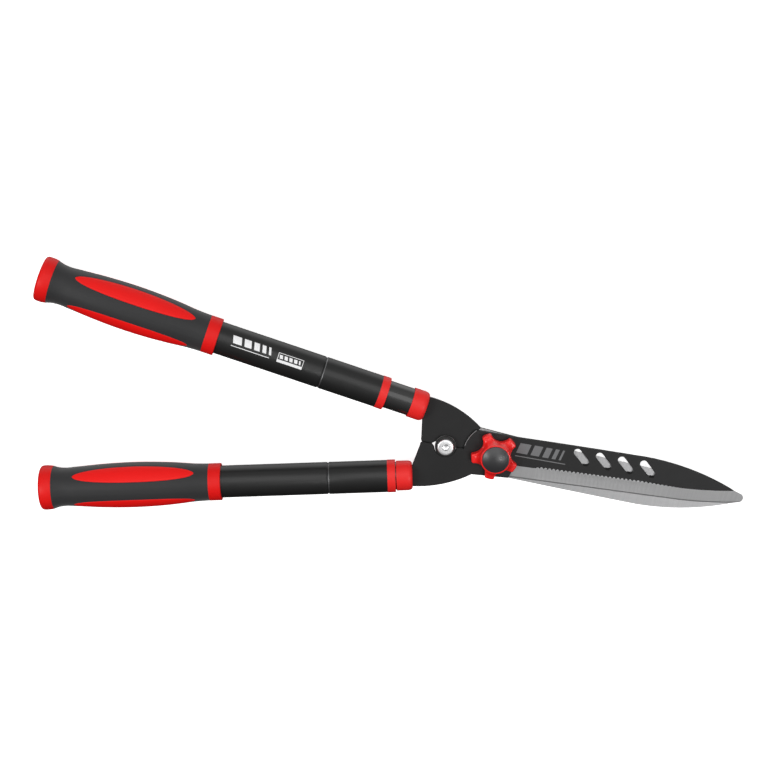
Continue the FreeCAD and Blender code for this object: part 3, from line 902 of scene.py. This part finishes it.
def arm_pieces(side, half_body):
    arm = Arm(side)
    handle = f"{side}_handle"
    ferrule, collar, ring = arm.part("ferrule"), arm.part("collar"), arm.part("grip_ring")
    inner, outer = arm.part("inner_tube"), arm.part("outer_tube")
    inner_bore, outer_bore = inner.radius - TUBE_WALL, outer.radius - TUBE_WALL
    slide = inner.radius + SLIDE_CLEARANCE
    lip_end = collar.start + COLLAR_LIP

    def turning(node, name, body, slot, material, profile):
        piece = turned(f"{side}_{name}", arm, profile, [MATERIALS[material]], segments=TUBE_SEGMENTS)
        finish_piece(piece, body, slot, f"{side}_{node}")

    turning("ferrule", "socket", half_body, "red_plastic", "red_socket", [
        (ferrule.start, 0.0, 0), (ferrule.start, ferrule.radius - 1.6 * MM, 1.6 * MM),
        (ferrule.start + 3.2 * MM, ferrule.radius, 2.4 * MM), (ferrule.end, ferrule.radius, 0.35 * MM),
        (ferrule.end, inner.radius, 0.1 * MM), (inner.start, inner.radius, 0), (inner.start, 0.0, 0),
    ])
    turning("inner_tube", "slide", half_body, "black_tube", "inner_tube", [
        (inner.start, inner_bore, 0), (inner.end, inner_bore, 0),
        (inner.end, inner.radius, 0.3 * MM), (inner.start, inner.radius, 0),
    ])
    turning("collar", "lip", handle, "red_plastic", "red_socket", [
        (collar.start, slide, 0.2 * MM), (collar.start, collar.radius, 0.7 * MM),
        (collar.end, collar.radius, 0.4 * MM), (collar.end, outer_bore, 0),
        (lip_end, outer_bore, 0), (lip_end, slide, 0),
    ])
    finish_piece(outer_tube(arm), handle, "black_tube", f"{side}_outer_tube")
    turning("grip_ring", "ring", handle, "red_plastic", "red_satin", [
        (ring.start, outer.radius, 0), (ring.start, ring.radius, 0.9 * MM),
        (ring.end, ring.radius, 0.25 * MM), (ring.end, outer.radius, 0),
    ])
    grip = Grip(arm)
    finish_piece(grip.sleeve(), handle, "black_rubber", f"{side}_grip_sleeve")
    for number in range(len(INLAY_ANGLES)):
        finish_piece(grip.inlay(number), handle, "red_rubber", f"{side}_grip_inlays")
    finish_piece(end_cap(arm, grip), handle, "red_plastic", f"{side}_end_cap")


# ---------------------------------------------------------------- pivot and stop
HEX_STEPS = 96
SHANK_RADIUS = 4.0 * MM
BOLT_FLATS = 13.0 * MM
NUT_BORE = 4.05 * MM
NUT_CHAMFER = 0.6 * MM
CORNER_SHARES = (1.0, 0.66, 0.33, 0.0)     # rows down a nut's turned-off corners
CORNER_DROP = 0.56                         # depth of that turning, over corner less flat
CORNER_CUT = 0.9
SOCKET_FLATS = 6.0 * MM
SOCKET_DEPTH = 2.4 * MM
DRILL_DEPTH = 1.2 * MM                     # cone left by the drill in the socket's floor
BUTTON_RIM = 8.1
BUTTON = ((5.6, 0.05), (6.8, 0.14), (7.3, 0.26), (7.7, 0.50), (7.95, 0.85), (8.07, 1.25),
          (BUTTON_RIM, 1.7))               # radius and drop of the button head, mm


def hexagon_radius(across_flats, angle):
    """Radius of a hexagon at an angle, with a flat facing angle 0."""
    turn = (angle + math.pi / 6) % (math.pi / 3) - math.pi / 6
    return across_flats / 2 / math.cos(turn)


def hex_ring(axis, station, across_flats, limit=math.inf):
    """Ring round a hexagon whose corners are turned off at a limiting radius."""
    angles = [2 * math.pi * step / HEX_STEPS for step in range(HEX_STEPS)]
    return [axis.at(station, min(limit, hexagon_radius(across_flats, angle)), angle) for angle in angles]


def round_rings(axis, *places):
    """Round rings about an axis, from (station, radius) places."""
    turn = 2 * math.pi / HEX_STEPS
    return [[axis.at(station, radius, turn * step) for step in range(HEX_STEPS)]
            for station, radius in places]


def hexagon_blank(axis, low, high, across_flats):
    """Rings up the outside of a nut or bolt head, corners turned off at both ends."""
    corner = across_flats / math.sqrt(3)
    turned_off = corner - across_flats / 2
    lower, upper = [], []
    for share in CORNER_SHARES:
        inset = (1 - share) * CORNER_DROP * turned_off
        limit = corner - share * CORNER_CUT * turned_off
        lower.append(hex_ring(axis, low + inset, across_flats, limit))
        upper.append(hex_ring(axis, high - inset, across_flats, limit))
    return lower + upper[::-1]


def stop_screw():
    """Plated button-head screw with a hexagon socket whose walls carry painted shade."""
    low, high, axis, head_radius = upright("stop_screw")
    head_bottom = level("stop_washer", top=True)
    socket_floor = high.z - SOCKET_DEPTH
    rings = round_rings(axis, (socket_floor - DRILL_DEPTH, 0.0))
    rings += [
        hex_ring(axis, socket_floor, SOCKET_FLATS),
        hex_ring(axis, high.z - 0.25 * MM, SOCKET_FLATS),
        hex_ring(axis, high.z - 0.03 * MM, SOCKET_FLATS + 0.5 * MM, 3.6 * MM),
    ]
    rings += round_rings(axis, (high.z, 4.0 * MM))
    rings += round_rings(axis, *((high.z - drop * MM, radius / BUTTON_RIM * head_radius)
                                 for radius, drop in BUTTON))
    rings += round_rings(
        axis, (head_bottom + 0.25 * MM, head_radius), (head_bottom, head_radius - 0.3 * MM),
        (head_bottom, SHANK_RADIUS), (low.z + 0.5 * MM, SHANK_RADIUS),
        (low.z, SHANK_RADIUS - 0.5 * MM), (low.z, 0.0),
    )
    # The socket's walls, the second row of faces, take a dark grey: painted shade in the recess.
    piece = loft("stop_bolt", rings, [MATERIALS["zinc"], MATERIALS["socket_shade"]], closed=False, crease=30.0,
                 second_rows=(1,))
    finish_piece(piece, "left_half", "zinc_steel", "stop_screw")


def pivot_bolt():
    """Hexagon bolt, head underneath."""
    low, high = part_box("pivot_bolt")
    axis = Column()
    head_top = level("rear_blade", top=False)
    rings = round_rings(axis, (low.z, 0.0), (low.z, 5.4 * MM))
    rings += hexagon_blank(axis, low.z, head_top, BOLT_FLATS)
    rings += round_rings(
        axis, (head_top, SHANK_RADIUS), (high.z - 0.8 * MM, SHANK_RADIUS),
        (high.z, SHANK_RADIUS - 0.8 * MM), (high.z, 0.0),
    )
    piece = loft("pivot_screw", rings, [MATERIALS["zinc"]], closed=False, crease=28.0)
    finish_piece(piece, "left_half", "zinc_steel", "pivot_bolt")


def nut(node, body):
    """Hexagon nut with countersunk bore."""
    low, high, axis, half_flats = upright(node)
    rings = hexagon_blank(axis, low.z, high.z, 2 * half_flats)
    rings += round_rings(
        axis, (high.z, NUT_BORE + NUT_CHAMFER), (high.z - NUT_CHAMFER, NUT_BORE),
        (low.z + NUT_CHAMFER, NUT_BORE), (low.z, NUT_BORE + NUT_CHAMFER),
    )
    piece = loft(f"{node}_turned", rings, [MATERIALS["zinc"]], crease=28.0)
    finish_piece(piece, body, "zinc_steel", node)


def washer(node, body, material, slot, rounding):
    """Flat ring with rounded rims."""
    low, high, axis, outer = upright(node)
    profile = [
        (low.z, SHANK_RADIUS, 0), (low.z, outer, rounding), (high.z, outer, rounding),
        (high.z, SHANK_RADIUS, 0.5 * rounding),
    ]
    piece = turned(f"{node}_ring", axis, profile, [MATERIALS[material]], segments=HEX_STEPS)
    finish_piece(piece, body, slot, node)


# ---------------------------------------------------------------- knob
KNOB_POINTS = 360
LOBE_HEIGHT = 7.0 * MM
LOBE_ROUNDING = 1.6 * MM
LOBE_SAG = 0.5 * MM               # how much lower the hollows between the lobes end
FOOT_CHAMFER = 0.5 * MM
ROUNDING_STEPS = 6
RISE_STEPS = 12                   # rows from the lobes' rounding up to the hub
MOST_SMOOTHING = 14
HUB_RIM = 1.5 * MM                # red ring left round the cap
HUB_EDGE = 0.7 * MM               # height of the hub's rounded rim
DOME_HEIGHT = 3.4 * MM
DOME_FOOT = 0.5 * MM
DOME_STEPS = 20
CAP_SEAT_DEPTH = 3.0 * MM
CAP_CLEARANCE = 0.02 * MM
BOLT_HOLE = 4.4 * MM
NUT_POCKET = 7.6 * MM
UNDER_POCKET = 11.0 * MM


def resampled(loop, count):
    """Loop at even steps of its length."""
    lengths = np.cumsum([0.0] + [(b - a).length for a, b in zip(loop, loop[1:] + loop[:1])])
    ring = np.array([tuple(point) for point in loop + loop[:1]])
    at = np.arange(count) * lengths[-1] / count
    return np.stack([np.interp(at, lengths, ring[:, axis]) for axis in range(2)], axis=1)


def smoothed(ring, reach):
    """Running mean round a ring of values or points, over reach steps each way."""
    return sum(np.roll(ring, shift, axis=0) for shift in range(-reach, reach + 1)) / (2 * reach + 1)


def tension_knob():
    """Five-lobed knob: rounded lobes that rise to a tall hub with a seat for the cap."""
    low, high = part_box("tension_knob")
    cap_radius = upright("knob_cap")[3]
    hub_radius = cap_radius + HUB_RIM
    outline = resampled(loops_at("tension_knob", low.z, 1)[0], KNOB_POINTS)
    radii = np.linalg.norm(outline, axis=1)
    directions = outline / radii[:, None]
    ahead = np.roll(outline, -1, axis=0) - np.roll(outline, 1, axis=0)
    ahead /= np.linalg.norm(ahead, axis=1)[:, None]
    inwards = np.stack([-ahead[:, 1], ahead[:, 0]], axis=1)
    lobe = smoothed(np.clip((radii - radii.min()) / (radii.max() - radii.min()), 0, 1), 8)
    rings = []

    def add(plan, height):
        heights = np.broadcast_to(height, (KNOB_POINTS,))
        rings.append([Vector((x, y, z)) for (x, y), z in zip(plan, heights)])

    add(outline + inwards * FOOT_CHAMFER, low.z)
    add(outline, low.z + FOOT_CHAMFER)
    rounding = LOBE_ROUNDING * (0.25 + 0.75 * lobe)
    shoulder = low.z + LOBE_HEIGHT - LOBE_SAG * (1 - lobe)
    for step in range(ROUNDING_STEPS + 1):
        turn = math.pi / 2 * step / ROUNDING_STEPS
        plan = outline + inwards * (rounding * (1 - math.cos(turn)))[:, None]
        add(plan, shoulder - rounding * (1 - math.sin(turn)))
    rim_plan = outline + inwards * rounding[:, None]
    hub_plan = directions * hub_radius
    for step in range(1, RISE_STEPS + 1):
        t = step / RISE_STEPS
        flat = t ** 0.85
        rise = 0.24 * t + 0.76 * t ** 2.4
        plan = smoothed(rim_plan, min(3 * step, MOST_SMOOTHING)) * (1 - flat) + hub_plan * flat
        add(plan, shoulder + (high.z - HUB_EDGE - shoulder) * rise)
    seat = cap_radius + CAP_CLEARANCE
    seat_floor = high.z - CAP_SEAT_DEPTH
    nut_low, nut_high = level("knob_nut", False), level("knob_nut", True)
    for radius, height in (
        (hub_radius - 0.15 * MM, high.z - 0.25 * MM), (hub_radius - 0.5 * MM, high.z),
        (cap_radius + 0.3 * MM, high.z), (seat, high.z - 0.3 * MM), (seat, seat_floor),
        (BOLT_HOLE, seat_floor), (BOLT_HOLE, nut_high), (NUT_POCKET, nut_high), (NUT_POCKET, nut_low),
        (UNDER_POCKET, nut_low), (UNDER_POCKET, low.z),
    ):
        add(directions * radius, height)
    piece = loft("knob_lobes", rings, [MATERIALS["red_gloss"]], crease=40.0)
    finish_piece(piece, "knob", "red_plastic", "tension_knob")


def knob_cap():
    """Satin domed cap pressed into the knob's hub."""
    low, high, _, radius = upright("knob_cap")
    rim = high.z - DOME_HEIGHT
    profile = [(low.z, 0.0, 0), (low.z, radius, 0.4 * MM), (rim, radius, 0),
               (rim + 0.35 * MM, radius - 0.3 * MM, 0)]
    edge = radius - 0.8 * MM
    for step in range(DOME_STEPS + 1):
        share = 1 - step / DOME_STEPS
        height = rim + DOME_FOOT + (DOME_HEIGHT - DOME_FOOT) * (1 - share ** 2)
        profile.append((height, edge * share, 0))
    piece = turned("knob_dome", Column(), profile, [MATERIALS["black_plastic"]], closed=False)
    finish_piece(piece, "knob", "black_plastic", "knob_cap")


# ---------------------------------------------------------------- printed marks
INK_THICKNESS = 0.04 * MM
INK_CELLS = 6
TUBE_MARK_ANGLE = math.radians(10)
# Bars and frames are in mm, from the pivot on the blade and from the grip's ring on the tube.


def slanted_bar(left, bottom, bar_width, bar_height, lean):
    return [(left, bottom), (left + bar_width, bottom), (left + bar_width + lean, bottom + bar_height),
            (left + lean, bottom + bar_height)]


def mark_bars(left, bottom, height, widths, gap, lean):
    """Row of slanted bars of different widths."""
    bars = []
    for bar_width in widths:
        bars.append(slanted_bar(left, bottom, bar_width, height, lean))
        left += bar_width + gap
    return bars


def ink_patch(name, shapes, place, material, body, slot):
    """Thin ink layer: each four-sided shape becomes a gridded slab laid by place(u, v, height)."""
    vertices, faces = [], []
    for a, b, c, d in shapes:
        first = len(vertices)
        for height in (-0.5 * INK_THICKNESS, INK_THICKNESS):
            for row in range(INK_CELLS + 1):
                for column in range(INK_CELLS + 1):
                    s, t = column / INK_CELLS, row / INK_CELLS
                    u = (a[0] * (1 - s) + b[0] * s) * (1 - t) + (d[0] * (1 - s) + c[0] * s) * t
                    v = (a[1] * (1 - s) + b[1] * s) * (1 - t) + (d[1] * (1 - s) + c[1] * s) * t
                    vertices.append(place(u, v, height))

        def quad(*corners):
            faces.append(tuple(first + (layer * (INK_CELLS + 1) + row) * (INK_CELLS + 1) + column
                               for layer, row, column in corners))

        for k in range(INK_CELLS):
            for row in range(INK_CELLS):
                for layer in (0, 1):
                    quad((layer, row, k), (layer, row, k + 1), (layer, row + 1, k + 1), (layer, row + 1, k))
            for end in (0, INK_CELLS):
                quad((0, end, k), (0, end, k + 1), (1, end, k + 1), (1, end, k))
                quad((0, k, end), (0, k + 1, end), (1, k + 1, end), (1, k, end))
    finish_piece(mesh_object(name, vertices, faces, [material]), body, slot)


def printed_marks():
    """Plain bars where such shears carry their printing."""
    top = level("front_blade", True)

    def on_blade(u, v, height):
        return Vector((u * MM, v * MM, top + height))

    shapes = mark_bars(20.0, 6.2, 10.4, (11.0, 8.4, 6.0, 3.8, 2.0), 3.3, 2.4)
    shapes.append(slanted_bar(19.5, 2.6, 50.0, 0.9, 0.3))
    ink_patch("blade_mark", shapes, on_blade, MATERIALS["blade_ink"], "right_half", "coated_steel")

    arm = Arm("left")
    ring = arm.part("grip_ring")
    radius = arm.part("outer_tube").radius

    def on_tube(u, v, height):
        return arm.at(ring.start - u * MM, radius + height, TUBE_MARK_ANGLE + v * MM / radius)

    shapes = mark_bars(15.2, 1.0, 7.4, (8.6, 7.0, 5.4, 3.8, 2.2), 2.75, -1.8)
    shapes.append(slanted_bar(14.0, -2.2, 38.0, 0.7, 0.0))
    left, bottom, width, height = 59.6, -2.8, 25.2, 9.4
    foot, line = 2.7, 0.55
    for x, y, bar_width, bar_height in (
        (left, bottom, width, foot),
        (left, bottom + height - line, width, line),
        (left, bottom + foot, line, height - foot - line),
        (left + width - line, bottom + foot, line, height - foot - line),
    ):
        shapes.append(slanted_bar(x, y, bar_width, bar_height, 0))
    shapes += mark_bars(left + 2.2, bottom + 3.9, 3.6, (3.2, 3.2, 3.2, 3.2, 1.6), 1.6, -0.8)
    ink_patch("tube_mark", shapes, on_tube, MATERIALS["tube_ink"], "left_handle", "black_tube")


# ---------------------------------------------------------------- CAD nodes that stay
KEPT = {
    "pivot_bush": "bronze", "spring_washer": "zinc",
    "tang_plug": "black_plastic", "tang_pins": "zinc", "lock_spindle": "zinc", "lock_screw": "zinc",
    "lock_expander": "nylon", "guide_bush": "black_plastic",
}


def kept_nodes():
    for name, node in frame["nodes"].items():
        key = name.split("_", 1)[1] if name.split("_")[0] in SIDES else name
        if key in KEPT:
            node.data.materials.clear()
            node.data.materials.append(MATERIALS[KEPT[key]])


# ---------------------------------------------------------------- stage, lights and camera
VIEW_DISTANCE = 1.6
VIEW_TILT = math.radians(15.9)                       # from straight down
VIEW_ROLL = math.radians(10.42)
VIEW_LEAN = math.radians(0.7)                        # sideways part of the tilt's direction
VIEW_LENS = 77.6
VIEW_TARGET = Vector((-119.1, 50.5, 8.35)) * MM      # from the pivot


FLOOR_REACH = 12.0
FLOOR_GLOW = 0.75
LAMP_DISTANCE = 2.0
# Name, direction from the shears, size and power.
SOFTBOXES = (
    ("overhead_softbox", Vector((0.0, 0.50, 1.0)), (1.8, 1.3), 9.0),
    ("left_softbox", Vector((-0.83, -0.10, 1.0)), (0.45, 0.8), 14.0),
    ("right_softbox", Vector((0.55, -0.06, 1.0)), (0.35, 0.8), 8.0),
)
# Brightness of the room: axis of the direction, its two ends, and the values there.
SKY_BY_HEIGHT = ("Z", -0.15, 0.75, 0.09, 0.44)
SKY_BY_DEPTH = ("Y", -0.9, 0.0, 0.3, 1.0)
BEHIND_BY_HEIGHT = ("Z", -0.10, -0.50, 0.0, 1.0)
BEHIND_BY_DEPTH = ("Y", 0.15, 0.6, 0.0, 0.95)
SIDE_BY_DEPTH = ("Y", 0.45, 0.95, 0.0, 0.34)


def stage():
    low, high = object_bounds()
    middle = (low + high) / 2
    corners = [(-FLOOR_REACH, -FLOOR_REACH), (FLOOR_REACH, -FLOOR_REACH),
               (FLOOR_REACH, FLOOR_REACH), (-FLOOR_REACH, FLOOR_REACH)]
    vertices = [Vector((middle.x + x, middle.y + y, low.z)) for x, y in corners]
    nodes = Nodes("pale_floor", (0.93, 0.93, 0.93), 0.8)
    nodes.tint(nodes.noise(3.0, 2.0), (0.90, 0.90, 0.90), 0.3)
    nodes.shader.inputs["Emission Color"].default_value = (1, 1, 1, 1)
    nodes.shader.inputs["Emission Strength"].default_value = FLOOR_GLOW
    floor = mesh_object("floor", vertices, [(0, 1, 2, 3)], [nodes.done()])
    floor.visible_glossy = False
    floor.visible_diffuse = False
    floor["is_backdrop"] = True

    world = bpy.data.worlds.new("studio")
    bpy.context.scene.world = world
    world.use_nodes = True
    tree = world.node_tree
    background = tree.nodes["Background"]
    direction = add_node(tree, "ShaderNodeTexCoord", "Generated", {})

    def shade(axis, start, end, at_start, at_end):
        """Value that goes from one to the other as an axis of the direction goes from start to end."""
        along = add_node(tree, "ShaderNodeSeparateXYZ", axis, {"Vector": direction})
        return add_node(tree, "ShaderNodeMapRange", "Result", {
            "Value": along, "From Min": start, "From Max": end, "To Min": at_start, "To Max": at_end,
        })

    def combined(operation, first, second):
        return add_node(tree, "ShaderNodeMath", "Value", {0: first, 1: second}, operation=operation)

    sky = combined("MULTIPLY", shade(*SKY_BY_HEIGHT), shade(*SKY_BY_DEPTH))
    behind = combined("MULTIPLY", shade(*BEHIND_BY_HEIGHT), shade(*BEHIND_BY_DEPTH))
    glow = combined("ADD", combined("ADD", sky, shade(*SIDE_BY_DEPTH)), behind)
    tree.links.new(glow, background.inputs["Strength"])
    background.inputs["Color"].default_value = (1, 1, 1, 1)
    bpy.context.scene.view_settings.view_transform = "Standard"

    for name, towards, size, power in SOFTBOXES:
        light = bpy.data.lights.new(name, "AREA")
        light.shape = "RECTANGLE"
        light.size, light.size_y = size
        light.energy = power
        lamp = bpy.data.objects.new(name, light)
        lamp.location = middle + towards.normalized() * LAMP_DISTANCE
        lamp.rotation_mode = "QUATERNION"
        lamp.rotation_quaternion = towards.to_track_quat("Z", "Y")
        bpy.context.scene.collection.objects.link(lamp)


def camera():
    data = bpy.data.cameras.new("camera")
    data.lens = VIEW_LENS
    data.sensor_width = 36.0
    data.clip_end = 50.0
    viewer = bpy.data.objects.new("camera", data)
    bpy.context.scene.collection.objects.link(viewer)
    right = Vector((math.cos(VIEW_ROLL), math.sin(VIEW_ROLL), 0))
    level_up = Vector((-math.sin(VIEW_ROLL), math.cos(VIEW_ROLL), 0))
    lean = level_up * math.cos(VIEW_LEAN) + right * math.sin(VIEW_LEAN)
    back = lean * math.sin(VIEW_TILT) + UP * math.cos(VIEW_TILT)
    right = (right - back * right.dot(back)).normalized()
    up = back.cross(right)
    rotation = Matrix((right, up, back)).transposed().to_4x4()
    viewer.matrix_world = Matrix.Translation(VIEW_TARGET + back * VIEW_DISTANCE) @ rotation
    bpy.context.scene.camera = viewer


camera()
blades()
arm_pieces("left", "left_half")
arm_pieces("right", "right_half")
stop_screw()
pivot_bolt()
nut("stop_nut", "left_half")
nut("knob_nut", "knob")
washer("pivot_washer", "left_half", "zinc", "zinc_steel", 0.25 * MM)
washer("stop_washer", "left_half", "black_steel", "black_steel", 0.25 * MM)
washer("stop_bumper", "left_half", "black_rubber", "black_rubber", 0.3 * MM)
tension_knob()
knob_cap()
printed_marks()
kept_nodes()
stage()
